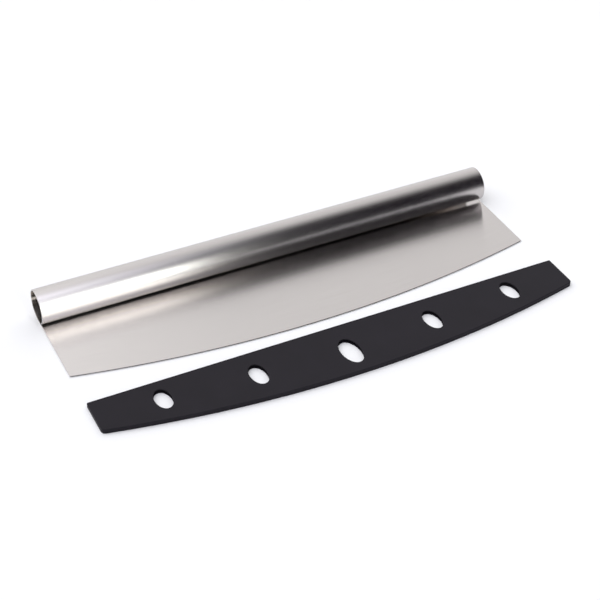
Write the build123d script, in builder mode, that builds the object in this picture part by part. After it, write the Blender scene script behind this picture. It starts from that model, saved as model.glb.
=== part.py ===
from build123d import *
import math
import os

# Rocking pizza knife with its blade cover, lying flat, all sizes in millimetres.
# X runs along the handle, the cutting edge points to -Y, +Z is up.
# The origin is on the surface that both pieces lie on, below the centre of the whole set.

# ---- driving dimensions ------------------------------------------------------
sheet_t = 1.0            # stainless sheet
handle_length = 350.0    # length of the rolled handle, also the width of the blade
handle_r = 12.5          # outer radius of the roll
roll_gap = 1.65          # free edge of the roll above the blade's upper face
blade_side_depth = 66.2  # handle tangent line to the blade's corners
blade_mid_depth = 86.0   # handle tangent line to the lowest point of the cutting edge
bevel_width = 1.6        # ground bevel on the underside, measured across the blade
bevel_height = 0.55      # ground bevel, measured through the sheet
edge_break = 0.08        # broken upper corner of the cutting edge
rim_chamfer = 0.18       # broken edge on the handle's end rims

cover_length = 352.8     # over the end walls
cover_mid_depth = 49.5   # mouth to the curved edge, at the middle
cover_end_depth = 29.1   # mouth to the curved edge, at the ends
cover_t = 3.4            # over both panels
cover_mouth_r = 1.0      # plan radius of the corners at the mouth
cover_back_r = 3.2       # plan radius of the corners at the curved edge
cover_edge_fillet = 0.5  # rounding of the outer edges
cover_wall = 1.7         # wall behind the cutting edge
top_panel_t = 0.9       # upper panel

cover_gap = 12.7         # lowest point of the cutting edge to the mouth of the cover, as it lies
cover_side_shift = 1.6   # cover lies this far towards +X of the knife
slide_travel = 60.0      # from where it lies to fully on the blade, across the table
fit_gap = 0.10           # blade to the cover's panels

# oval holes: plan centre from the cover's own middle and from its mouth, half-axes along X and Y
hole_mid = (0.0, 28.1, 7.3, 13.2)
hole_inner = (65.7, 22.9, 6.15, 10.5)
hole_outer = (131.0, 18.1, 6.0, 10.0)
hole_offset = 0.5        # the row of holes sits this far towards +X of the cover's middle

# ---- derived ----------------------------------------------------------------
ceiling_z = cover_t - top_panel_t                  # underside of the upper panel
slide_drop = ceiling_z - sheet_t - fit_gap          # the cover settles by this much as it slides on
slope = slide_drop / slide_travel

set_back = handle_r
set_front = -(blade_mid_depth + cover_gap + cover_mid_depth)
set_right = cover_length / 2 + cover_side_shift
set_left = -handle_length / 2
x_knife = -(set_right + set_left) / 2
y_tangent = -(set_back + set_front) / 2
x_cover = x_knife + cover_side_shift
y_mouth = y_tangent - blade_mid_depth - cover_gap

print("knife centre x %.3f, tangent line y %.3f" % (x_knife, y_tangent))
print("cover centre x %.3f, mouth y %.3f" % (x_cover, y_mouth))
print("slide: dx %.3f dy %.3f dz %.4f" % (-cover_side_shift, slide_travel, -slide_drop))

# ---- knife: one sheet, rolled into the handle and left flat as the blade --------
# End of the roll, as an angle about the handle's axis from +Y, counter-clockwise seen from +X.
roll_end = 180.0 + math.degrees(math.asin(1.0 - (sheet_t + roll_gap) / handle_r))
r_in = handle_r - sheet_t


def ring(radius, angle):
    a = math.radians(angle)
    return (y_tangent + radius * math.cos(a), handle_r + radius * math.sin(a))


y_cut = y_tangent - blade_mid_depth - 2.0
with BuildPart() as knife:
    # cross-section through blade and roll, in the YZ plane
    with BuildSketch(Plane.YZ.offset(x_knife - handle_length / 2)):
        with BuildLine():
            Line((y_cut, sheet_t), (y_cut, 0))
            Line((y_cut, 0), (y_tangent, 0))
            ThreePointArc(ring(handle_r, -90), ring(handle_r, 78), ring(handle_r, roll_end))
            Line(ring(handle_r, roll_end), ring(r_in, roll_end))
            ThreePointArc(ring(r_in, roll_end), ring(r_in, 78), ring(r_in, -90))
            Line(ring(r_in, -90), (y_cut, sheet_t))
        make_face()
    extrude(amount=handle_length)
    # curved cutting edge: the waste in front of the arc is cut away
    x0, x1 = x_knife - handle_length / 2, x_knife + handle_length / 2
    y_side, y_mid = y_tangent - blade_side_depth, y_tangent - blade_mid_depth
    with BuildSketch(Plane.XY.offset(-1)):
        with BuildLine():
            ThreePointArc((x0, y_side), (x_knife, y_mid), (x1, y_side))
            Line((x1, y_side), (x1 + 5, y_side))
            Line((x1 + 5, y_side), (x1 + 5, y_cut - 5))
            Line((x1 + 5, y_cut - 5), (x0 - 5, y_cut - 5))
            Line((x0 - 5, y_cut - 5), (x0 - 5, y_side))
            Line((x0 - 5, y_side), (x0, y_side))
        make_face()
    extrude(amount=sheet_t + 2, mode=Mode.SUBTRACT)
    # the cutting edge is ground from below along the arc, and its upper corner is only broken
    for level, across, through in ((sheet_t, edge_break, edge_break), (0.0, bevel_width, bevel_height)):
        arc = knife.edges().filter_by(GeomType.CIRCLE).filter_by(
            lambda e: abs(e.center().Z - level) < 0.01 and e.radius > 200)
        face = knife.faces().filter_by(GeomType.PLANE).filter_by(
            lambda f: abs(f.normal_at().Z) > 0.99 and abs(f.center().Z - level) < 0.01).sort_by(SortBy.AREA)[-1]
        chamfer(arc, length=across, length2=through, reference=face)
    # broken edges on the two end rims of the roll
    rims = knife.edges().filter_by(GeomType.CIRCLE).filter_by(
        lambda e: e.radius < 20 and (abs(e.center().X - x0) < 0.01 or abs(e.center().X - x1) < 0.01))
    chamfer(rims, length=rim_chamfer)
knife.part.label = "rolled_blade_and_handle"

# ---- cover: one moulding, open along its straight side, with five oval holes ----------
half = cover_length / 2
with BuildPart() as cover:
    with BuildSketch(Plane.XY) as outline:
        with BuildLine():
            Line((x_cover - half, y_mouth - cover_end_depth), (x_cover - half, y_mouth))
            Line((x_cover - half, y_mouth), (x_cover + half, y_mouth))
            Line((x_cover + half, y_mouth), (x_cover + half, y_mouth - cover_end_depth))
            ThreePointArc((x_cover + half, y_mouth - cover_end_depth),
                          (x_cover, y_mouth - cover_mid_depth),
                          (x_cover - half, y_mouth - cover_end_depth))
        make_face()
        corners = outline.vertices().group_by(Axis.Y)
        fillet(corners[0], radius=cover_back_r)
        fillet(outline.vertices().group_by(Axis.Y)[-1], radius=cover_mouth_r)
    extrude(amount=cover_t)
    # rounded outer edges, top and bottom
    top_edges = cover.faces().sort_by(Axis.Z)[-1].edges()
    fillet(top_edges, radius=cover_edge_fillet)
    low_edges = cover.faces().sort_by(Axis.Z)[0].edges()
    fillet(low_edges, radius=cover_edge_fillet * 0.25)
    # the slot for the blade: plan shape and side profile, crossed
    deep = cover_mid_depth - cover_wall
    blade_sag = blade_mid_depth - blade_side_depth
    side_depth = deep - blade_sag
    w_mouth = handle_length / 2 + 0.80
    w_deep = handle_length / 2 + 0.15
    with BuildSketch(Plane.XY.offset(-1)):
        with BuildLine():
            Line((x_cover - w_deep, y_mouth - side_depth), (x_cover - w_mouth, y_mouth + 1))
            Line((x_cover - w_mouth, y_mouth + 1), (x_cover + w_mouth, y_mouth + 1))
            Line((x_cover + w_mouth, y_mouth + 1), (x_cover + w_deep, y_mouth - side_depth))
            ThreePointArc((x_cover + w_deep, y_mouth - side_depth),
                          (x_cover, y_mouth - deep),
                          (x_cover - w_deep, y_mouth - side_depth))
        make_face()
    plan = extrude(amount=cover_t + 2, mode=Mode.PRIVATE)
    with BuildSketch(Plane.YZ.offset(x_cover - half - 5)):
        with BuildLine():
            Polyline((y_mouth + 1, slope * (cover_gap - 1) - fit_gap),
                     (y_mouth - deep - 1, slope * (cover_gap + deep + 1) - fit_gap),
                     (y_mouth - deep - 1, ceiling_z),
                     (y_mouth + 1, ceiling_z),
                     (y_mouth + 1, slope * (cover_gap - 1) - fit_gap))
        make_face()
    profile = extrude(amount=cover_length + 10, mode=Mode.PRIVATE)
    add(plan & profile, mode=Mode.SUBTRACT)
    # oval holes through both panels
    with BuildSketch(Plane.XY.offset(-1)):
        for cx, cy, ax, ay in (hole_mid,
                               hole_inner, (-hole_inner[0],) + hole_inner[1:],
                               hole_outer, (-hole_outer[0],) + hole_outer[1:]):
            with Locations((x_cover + hole_offset + cx, y_mouth - cy)):
                Ellipse(ax, ay)
    extrude(amount=cover_t + 2, mode=Mode.SUBTRACT)
cover.part.label = "blade_cover"

os.makedirs("parts", exist_ok=True)
export_step(knife.part, "parts/rolled_blade_and_handle.step")
export_step(cover.part, "parts/blade_cover.step")
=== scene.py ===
import math

import bmesh
import bpy
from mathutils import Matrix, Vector


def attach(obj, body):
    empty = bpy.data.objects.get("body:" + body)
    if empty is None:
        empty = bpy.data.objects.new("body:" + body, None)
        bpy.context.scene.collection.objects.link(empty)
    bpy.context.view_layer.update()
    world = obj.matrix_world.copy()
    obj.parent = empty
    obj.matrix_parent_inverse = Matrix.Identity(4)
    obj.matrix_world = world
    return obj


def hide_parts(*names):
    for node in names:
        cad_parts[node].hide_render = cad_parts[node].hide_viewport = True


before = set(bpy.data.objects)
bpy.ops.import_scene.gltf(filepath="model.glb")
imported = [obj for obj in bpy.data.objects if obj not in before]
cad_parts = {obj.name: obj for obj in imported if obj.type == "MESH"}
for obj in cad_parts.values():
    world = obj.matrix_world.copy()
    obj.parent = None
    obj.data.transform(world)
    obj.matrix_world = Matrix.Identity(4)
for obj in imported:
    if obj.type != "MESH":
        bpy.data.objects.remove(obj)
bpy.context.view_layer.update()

MM = 0.001

# ---- the object's sizes in the frame, in millimetres -----------------------------------
SHEET = 1.0
R_OUT = 12.49
R_IN = 11.5
R_AXIS = 12.5
X_MID = -1.5
HALF = 175.0
Y_TAN = 67.85
D_SIDE = 66.2
D_MID = 86.0
BEVEL_W = 1.6
BEVEL_H = 0.55
ROLL_GAP = 1.65


def arc_radius(half, sag):
    return (half * half + sag * sag) / (2 * sag)


def new_object(name, mesh):
    obj = bpy.data.objects.new(name, mesh)
    bpy.context.scene.collection.objects.link(obj)
    return obj


# ---- knife: the rolled sheet, one section lofted along the handle ---------------------------
def knife_mesh():
    radius = arc_radius(HALF, D_MID - D_SIDE)
    y_centre = -D_MID + radius          # from the tangent line

    def depth(x):
        return -(y_centre - math.sqrt(radius * radius - x * x))

    end = 180.0 + math.degrees(math.asin(1.0 - (SHEET + ROLL_GAP) / R_AXIS))
    turns = 168

    def section(x, inset):
        d = depth(max(-HALF, min(HALF, x)))
        ro, ri = R_OUT - inset, R_IN + inset
        pts = []
        s = 0.0
        # outer face of the roll, from its free edge back to the tangent line
        for i in range(turns + 1):
            a = math.radians(end + (-90.0 - end) * i / turns)
            pts.append((ro * math.cos(a), R_AXIS + ro * math.sin(a)))
        # underside of the blade, the two ground bevels and the edge, then the upper face
        low, high = R_AXIS - ro, R_AXIS - ri
        rows = 10
        start = -d + BEVEL_W
        for i in range(1, rows + 1):
            pts.append((start * i / rows, low))
        tip = -d + inset * 0.5
        pts.append((tip + 0.03, low + BEVEL_H - 0.01))
        pts.append((tip, low + BEVEL_H + 0.03))
        pts.append((tip, high - 0.08))
        pts.append((tip + 0.03, high - 0.025))
        start = tip + 0.09
        for i in range(rows, 0, -1):
            pts.append((start * i / rows, high))
        # inner face of the roll
        for i in range(turns + 1):
            a = math.radians(-90.0 + (end + 90.0) * i / turns)
            pts.append((ri * math.cos(a), R_AXIS + ri * math.sin(a)))
        # the free edge of the roll, slightly broken at both corners
        a = math.radians(end)
        t = (math.cos(a + math.pi / 2), math.sin(a + math.pi / 2))
        for k, push in ((0.22, 0.05), (0.5, 0.06), (0.78, 0.05)):
            r = ri + (ro - ri) * k
            pts.append((r * math.cos(a) + t[0] * push, R_AXIS + r * math.sin(a) + t[1] * push))
        return pts

    stations = [(0.0, 0.17), (0.05, 0.09), (0.13, 0.03), (0.24, 0.0), (0.6, 0.0), (1.6, 0.0)]
    n = 92
    xs = [(-HALF + s, i) for s, i in stations]
    span = 2 * (HALF - 1.6)
    xs += [(-HALF + 1.6 + span * i / n, 0.0) for i in range(1, n)]
    xs += [(HALF - s, i) for s, i in reversed(stations)]
    loops = [section(x, i) for x, i in xs]
    count = len(loops[0])
    verts = []
    for (x, _), loop in zip(xs, loops):
        verts += [((X_MID + x) * MM, (Y_TAN + y) * MM, z * MM) for y, z in loop]
    faces = []
    finish = []         # 0 for the brushed outside, 1 for the unbrushed inside of the roll, 2 for the ground edge
    # material 2 covers the ground edge faces; its dark tone is painted shade along the cutting edge
    inner_first = count - 4 - turns
    tip_first = turns + 10
    for a in range(len(xs) - 1):
        for b in range(count):
            c = (b + 1) % count
            faces.append((a * count + b, a * count + c, (a + 1) * count + c, (a + 1) * count + b))
            finish.append(1 if inner_first <= b < count - 4 else 2 if tip_first <= b < tip_first + 4 else 0)
    # end faces: the outer and inner lines of the section face each other, so they zip up in strips
    def cap(base, flip):
        out = []
        i, j = 0, count - 4
        steps = turns
        for k in range(steps):
            out.append((base + i, base + i + 1, base + j - 1, base + j))
            i += 1
            j -= 1
        for k in range(10):
            out.append((base + i, base + i + 1, base + j - 1, base + j))
            i += 1
            j -= 1
        out.append((base + i, base + i + 1, base + j - 1, base + j))
        out.append((base + i + 1, base + i + 2, base + j - 2, base + j - 1))
        # free edge
        out.append((base + 0, base + count - 4, base + count - 3, base + count - 2, base + count - 1))
        return [tuple(reversed(f)) for f in out] if flip else out
    faces += cap(0, False)
    faces += cap((len(xs) - 1) * count, True)
    mesh = bpy.data.meshes.new("rolled_knife")
    mesh.from_pydata(verts, [], faces)
    finish += [0] * (len(faces) - len(finish))
    mesh.polygons.foreach_set("material_index", finish)
    bm = bmesh.new()
    bm.from_mesh(mesh)
    bmesh.ops.recalc_face_normals(bm, faces=bm.faces)
    # U runs across the brushing, V along it
    uv = bm.loops.layers.uv.new("brush")
    lengths = [0.0]
    ref = section(0.0, 0.0)
    for i in range(1, count + 1):
        p, q = ref[i - 1], ref[i % count]
        lengths.append(lengths[-1] + math.hypot(q[0] - p[0], q[1] - p[1]))
    for f in bm.faces:
        idx = [l.vert.index for l in f.loops]
        bs = [i % count for i in idx]
        if len(set(i // count for i in idx)) == 1:
            # end faces lie across the brushing, so they are laid out flat
            for l in f.loops:
                l[uv].uv = (l.vert.co.y * 10.0, l.vert.co.z * 10.0)
            continue
        wrap = max(bs) - min(bs) > count // 2
        for l, b in zip(f.loops, bs):
            s = lengths[count] if wrap and b == 0 else lengths[b]
            l[uv].uv = (s * 0.01, l.vert.co.x * 10.0)
    bm.to_mesh(mesh)
    bm.free()
    mesh.polygons.foreach_set("use_smooth", [True] * len(mesh.polygons))
    mesh.set_sharp_from_angle(angle=math.radians(8.0))
    return mesh


# ---- node helpers --------------------------------------------------------------------
class Nodes:
    def __init__(self, name):
        self.mat = bpy.data.materials.new(name)
        self.mat.use_nodes = True
        self.tree = self.mat.node_tree
        self.tree.nodes.clear()
        self.out = self.tree.nodes.new("ShaderNodeOutputMaterial")
        self.bsdf = self.tree.nodes.new("ShaderNodeBsdfPrincipled")
        self.link(self.bsdf.outputs[0], self.out.inputs[0])

    def link(self, a, b):
        self.tree.links.new(a, b)

    def new(self, kind, **props):
        n = self.tree.nodes.new(kind)
        for k, v in props.items():
            setattr(n, k, v)
        return n

    def math(self, op, a, b=None, clamp=False):
        n = self.new("ShaderNodeMath", operation=op, use_clamp=clamp)
        for i, s in enumerate((a, b)):
            if s is None:
                continue
            if isinstance(s, (int, float)):
                n.inputs[i].default_value = s
            else:
                self.link(s, n.inputs[i])
        return n.outputs[0]

    def noise(self, vector, scale, detail=3.0, rough=0.55):
        n = self.new("ShaderNodeTexNoise")
        n.inputs["Scale"].default_value = scale
        n.inputs["Detail"].default_value = detail
        n.inputs["Roughness"].default_value = rough
        self.link(vector, n.inputs["Vector"])
        return n.outputs["Fac"]

    def mapping(self, vector, scale):
        n = self.new("ShaderNodeMapping")
        n.inputs["Scale"].default_value = scale
        self.link(vector, n.inputs["Vector"])
        return n.outputs[0]

    def ramp(self, fac, stops):
        n = self.new("ShaderNodeValToRGB")
        el = n.color_ramp.elements
        el[0].position, el[0].color = stops[0][0], stops[0][1]
        el[1].position, el[1].color = stops[-1][0], stops[-1][1]
        for pos, col in stops[1:-1]:
            e = el.new(pos)
            e.color = col
        self.link(fac, n.inputs[0])
        return n.outputs[0]


def steel():
    m = Nodes("brushed_sheet_steel")
    b = m.bsdf
    b.inputs["Metallic"].default_value = 1.0
    b.inputs["Anisotropic"].default_value = 1.0
    uv = m.new("ShaderNodeUVMap", uv_map="brush").outputs[0]
    tangent = m.new("ShaderNodeTangent", direction_type="UV_MAP", uv_map="brush")
    m.link(tangent.outputs[0], b.inputs["Tangent"])
    obj = m.new("ShaderNodeTexCoord").outputs["Object"]
    # U is metres x 10 across the brushing, V is metres x 10 along it
    fine = m.noise(m.mapping(uv, (600.0, 9.0, 1.0)), 1.0, 4.0, 0.6)
    mid = m.noise(m.mapping(uv, (120.0, 2.2, 1.0)), 1.0, 3.0, 0.5)
    cloud = m.noise(m.mapping(obj, (18.0, 30.0, 30.0)), 1.0, 2.0, 0.5)
    mix = m.math("ADD", m.math("MULTIPLY", fine, 0.6), m.math("MULTIPLY", mid, 0.4))
    col = m.ramp(mix, [(0.25, (0.544, 0.518, 0.511, 1)), (0.5, (0.580, 0.552, 0.545, 1)), (0.75, (0.616, 0.587, 0.579, 1))])
    m.link(col, b.inputs["Base Color"])
    # the outside of the roll and the blade are brushed differently
    split = m.new("ShaderNodeSeparateXYZ")
    m.link(uv, split.inputs[0])
    zone = m.new("ShaderNodeMapRange", interpolation_type="SMOOTHSTEP")
    zone.inputs["From Min"].default_value = 0.715
    zone.inputs["From Max"].default_value = 0.780
    zone.inputs["To Min"].default_value = 0.203
    zone.inputs["To Max"].default_value = 0.160
    m.link(split.outputs[0], zone.inputs["Value"])
    rough = m.math("ADD", m.math("MULTIPLY", m.math("SUBTRACT", mix, 0.5), 0.07), m.math("MULTIPLY", m.math("SUBTRACT", cloud, 0.5), 0.04))
    rough = m.math("ADD", rough, zone.outputs[0])
    m.link(rough, b.inputs["Roughness"])
    bump = m.new("ShaderNodeBump")
    bump.inputs["Strength"].default_value = 0.10
    bump.inputs["Distance"].default_value = 0.00003
    m.link(mix, bump.inputs["Height"])
    m.link(bump.outputs[0], b.inputs["Normal"])
    return m.mat


def mill_steel():
    m = Nodes("unbrushed_sheet_steel")
    b = m.bsdf
    b.inputs["Metallic"].default_value = 1.0
    uv = m.new("ShaderNodeUVMap", uv_map="brush").outputs[0]
    obj = m.new("ShaderNodeTexCoord").outputs["Object"]
    lines = m.noise(m.mapping(uv, (90.0, 2.0, 1.0)), 1.0, 3.0, 0.5)
    grain = m.noise(m.mapping(obj, (900.0, 900.0, 900.0)), 1.0, 3.0, 0.6)
    mix = m.math("ADD", m.math("MULTIPLY", lines, 0.5), m.math("MULTIPLY", grain, 0.5))
    col = m.ramp(mix, [(0.25, (0.46, 0.425, 0.40, 1)), (0.75, (0.58, 0.54, 0.51, 1))])
    m.link(col, b.inputs["Base Color"])
    rough = m.math("ADD", m.math("MULTIPLY", mix, 0.10), 0.20)
    m.link(rough, b.inputs["Roughness"])
    bump = m.new("ShaderNodeBump")
    bump.inputs["Strength"].default_value = 0.2
    bump.inputs["Distance"].default_value = 0.00003
    m.link(grain, bump.inputs["Height"])
    m.link(bump.outputs[0], b.inputs["Normal"])
    return m.mat


def ground_edge_painted_shade():
    m = Nodes("ground_edge_steel_painted_shade")
    b = m.bsdf
    b.inputs["Metallic"].default_value = 1.0
    obj = m.new("ShaderNodeTexCoord").outputs["Object"]
    lines = m.noise(m.mapping(obj, (3500.0, 60.0, 60.0)), 1.0, 3.0, 0.6)
    cloud = m.noise(m.mapping(obj, (40.0, 40.0, 40.0)), 1.0, 2.0, 0.5)
    # the ground streaks are the edge's own finish; the dark tone of this ramp is painted shade, standing in for
    # the dark line of shade along the cutting edge
    col = m.ramp(m.math("ADD", m.math("MULTIPLY", lines, 0.6), m.math("MULTIPLY", cloud, 0.4)),
                 [(0.3, (0.13, 0.12, 0.115, 1)), (0.7, (0.24, 0.225, 0.22, 1))])
    m.link(col, b.inputs["Base Color"])
    rough = m.math("ADD", m.math("MULTIPLY", lines, 0.2), 0.36)
    m.link(rough, b.inputs["Roughness"])
    bump = m.new("ShaderNodeBump")
    bump.inputs["Strength"].default_value = 0.3
    bump.inputs["Distance"].default_value = 0.00003
    m.link(lines, bump.inputs["Height"])
    m.link(bump.outputs[0], b.inputs["Normal"])
    return m.mat


def plastic():
    m = Nodes("moulded_black_plastic")
    b = m.bsdf
    b.inputs["Specular IOR Level"].default_value = 0.10
    obj = m.new("ShaderNodeTexCoord").outputs["Object"]
    grain = m.noise(m.mapping(obj, (1.0, 1.0, 1.0)), 2600.0, 3.0, 0.6)
    cloud = m.noise(m.mapping(obj, (1.0, 1.0, 1.0)), 45.0, 3.0, 0.5)
    col = m.ramp(cloud, [(0.3, (0.0158, 0.0139, 0.0180, 1)), (0.7, (0.0184, 0.0161, 0.0210, 1))])
    m.link(col, b.inputs["Base Color"])
    rough = m.math("ADD", m.math("MULTIPLY", grain, 0.16), 0.42)
    rough = m.math("ADD", rough, m.math("MULTIPLY", cloud, 0.06))
    m.link(rough, b.inputs["Roughness"])
    bump = m.new("ShaderNodeBump")
    bump.inputs["Strength"].default_value = 0.35
    bump.inputs["Distance"].default_value = 0.00004
    m.link(grain, bump.inputs["Height"])
    m.link(bump.outputs[0], b.inputs["Normal"])
    return m.mat


def floor_material():
    m = Nodes("pale_floor")
    b = m.bsdf
    b.inputs["Base Color"].default_value = (0.96, 0.96, 0.96, 1)
    b.inputs["Roughness"].default_value = 0.9
    b.inputs["Specular IOR Level"].default_value = 0.0
    return m.mat


# ---- the pieces ------------------------------------------------------------------------
knife = new_object("rolled_knife", knife_mesh())
knife.data.materials.append(steel())
knife.data.materials.append(mill_steel())
knife.data.materials.append(ground_edge_painted_shade())
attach(knife, "knife")
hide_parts("rolled_blade_and_handle")

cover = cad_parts["blade_cover"]
cover.material_slots[0].material = plastic()

# ---- floor --------------------------------------------------------------------------
floor_mesh = bpy.data.meshes.new("floor")
s = 6.0
floor_mesh.from_pydata([(-s, -s, 0), (s, -s, 0), (s, s, 0), (-s, s, 0)], [], [(0, 1, 2, 3)])
floor = new_object("floor", floor_mesh)
floor.location.z = -0.00005
floor.data.materials.append(floor_material())

# ---- soft studio light ------------------------------------------------------------------
def world_light():
    world = bpy.data.worlds.new("studio")
    bpy.context.scene.world = world
    world.use_nodes = True
    tree = world.node_tree
    tree.nodes.clear()
    out = tree.nodes.new("ShaderNodeOutputWorld")
    coord = tree.nodes.new("ShaderNodeTexCoord").outputs["Generated"]
    sep = tree.nodes.new("ShaderNodeSeparateXYZ")
    tree.links.new(coord, sep.inputs[0])

    def maths(op, *args):
        n = tree.nodes.new("ShaderNodeMath")
        n.operation = op
        for i, a in enumerate(args):
            if isinstance(a, (int, float)):
                n.inputs[i].default_value = a
            else:
                tree.links.new(a, n.inputs[i])
        return n.outputs[0]

    def step(value, low, high):
        n = tree.nodes.new("ShaderNodeMapRange")
        n.interpolation_type = "SMOOTHSTEP"
        n.inputs["From Min"].default_value = low
        n.inputs["From Max"].default_value = high
        n.inputs["To Min"].default_value = 0.0
        n.inputs["To Max"].default_value = 1.0
        tree.links.new(value, n.inputs["Value"])
        return n.outputs["Result"]

    x, y, z = sep.outputs
    elevation = maths("MULTIPLY", maths("ARCSINE", z), 57.29578)
    # a white ceiling and back wall, fading towards the unlit side in front
    back_wall = step(y, -0.26, 0.56)
    level_back = step(elevation, 24.0, 37.0)
    white = maths("SUBTRACT", 1.117, maths("MULTIPLY", x, 0.20))
    white = maths("ADD", white, maths("MULTIPLY", maths("SUBTRACT", 1.0, step(x, 0.10, 0.34)), 0.29))
    seam = maths("MULTIPLY", step(elevation, 44.0, 60.0), maths("SUBTRACT", 1.0, step(x, 0.26, 0.38)))
    white = maths("MULTIPLY", white, maths("SUBTRACT", 1.0, maths("MULTIPLY", seam, 0.16)))
    white_low = maths("ADD", 1.042, maths("MULTIPLY", x, 0.23))
    white = maths("ADD", maths("MULTIPLY", white, level_back),
                  maths("MULTIPLY", white_low, maths("SUBTRACT", 1.0, level_back)))
    # soft lights high on both sides light the floor
    sides = maths("ADD", maths("MULTIPLY", maths("SUBTRACT", 1.0, step(x, -0.20, 0.06)), 0.80),
                  maths("MULTIPLY", step(x, 0.52, 0.66), 1.50))
    window = maths("MULTIPLY", sides, maths("ADD", 0.01, maths("MULTIPLY", step(elevation, 30.0, 50.0), 0.47)))
    # a large softbox in front, whose right edge is sharp, and a softer light above it; beyond them it is dark
    low = maths("SUBTRACT", 1.0, step(elevation, 36.0, 46.0))
    high = step(elevation, 64.0, 73.0)
    edge_low = maths("MULTIPLY", step(x, 0.02, 0.12), maths("SUBTRACT", 1.0, step(x, 0.262, 0.300)))
    edge_high = maths("SUBTRACT", 1.0, step(x, 0.14, 0.355))
    soft = maths("MULTIPLY", edge_low, maths("MULTIPLY", low, 4.5))
    above = maths("MULTIPLY", edge_high, maths("MULTIPLY", maths("SUBTRACT", 1.0, low),
                                               maths("ADD", 1.320, maths("MULTIPLY", high, 1.05))))
    front_part = maths("SUBTRACT", 1.0, back_wall)

    def tinted(strength, colour):
        n = tree.nodes.new("ShaderNodeBackground")
        n.inputs["Color"].default_value = colour
        tree.links.new(strength, n.inputs["Strength"])
        return n.outputs[0]

    def add(a, b):
        n = tree.nodes.new("ShaderNodeAddShader")
        tree.links.new(a, n.inputs[0])
        tree.links.new(b, n.inputs[1])
        return n.outputs[0]

    neutral = maths("ADD", maths("MULTIPLY", back_wall, white), window)
    total = add(tinted(neutral, (1.0, 0.998, 0.995, 1)),
                tinted(maths("MULTIPLY", front_part, above), (0.93, 0.94, 1.03, 1)))
    total = add(total, tinted(maths("MULTIPLY", front_part, 0.008), (1.0, 0.60, 1.30, 1)))
    total = add(total, tinted(maths("MULTIPLY", front_part, soft), (0.970, 1.0, 0.957, 1)))
    tree.links.new(total, out.inputs[0])


world_light()

# ---- camera: the photograph's viewing angle ---------------------------------------------
AZ = math.radians(26.229)
EL = math.radians(37.678)
FOCAL = 1523.492          # in pixels of the 600 x 600 frame
DIST = 1067.690
TARGET = (4.935 + X_MID, -64.479 + Y_TAN, 0.0)
PX, PY = 313.731, 302.158
view = Vector((math.sin(AZ) * math.cos(EL), math.cos(AZ) * math.cos(EL), -math.sin(EL)))
cam_data = bpy.data.cameras.new("camera")
cam_data.sensor_width = 36.0
cam_data.lens = FOCAL / 600.0 * 36.0
cam_data.shift_x = (300.0 - PX) / 600.0
cam_data.shift_y = (PY - 300.0) / 600.0
cam_data.clip_start = 0.05
cam_data.clip_end = 30.0
camera = new_object("camera", cam_data)
camera.location = (Vector(TARGET) - view * DIST) * MM
camera.rotation_euler = view.to_track_quat("-Z", "Y").to_euler()
bpy.context.scene.camera = camera

bpy.context.scene.view_settings.view_transform = "Standard"
bpy.context.scene.view_settings.look = "None"
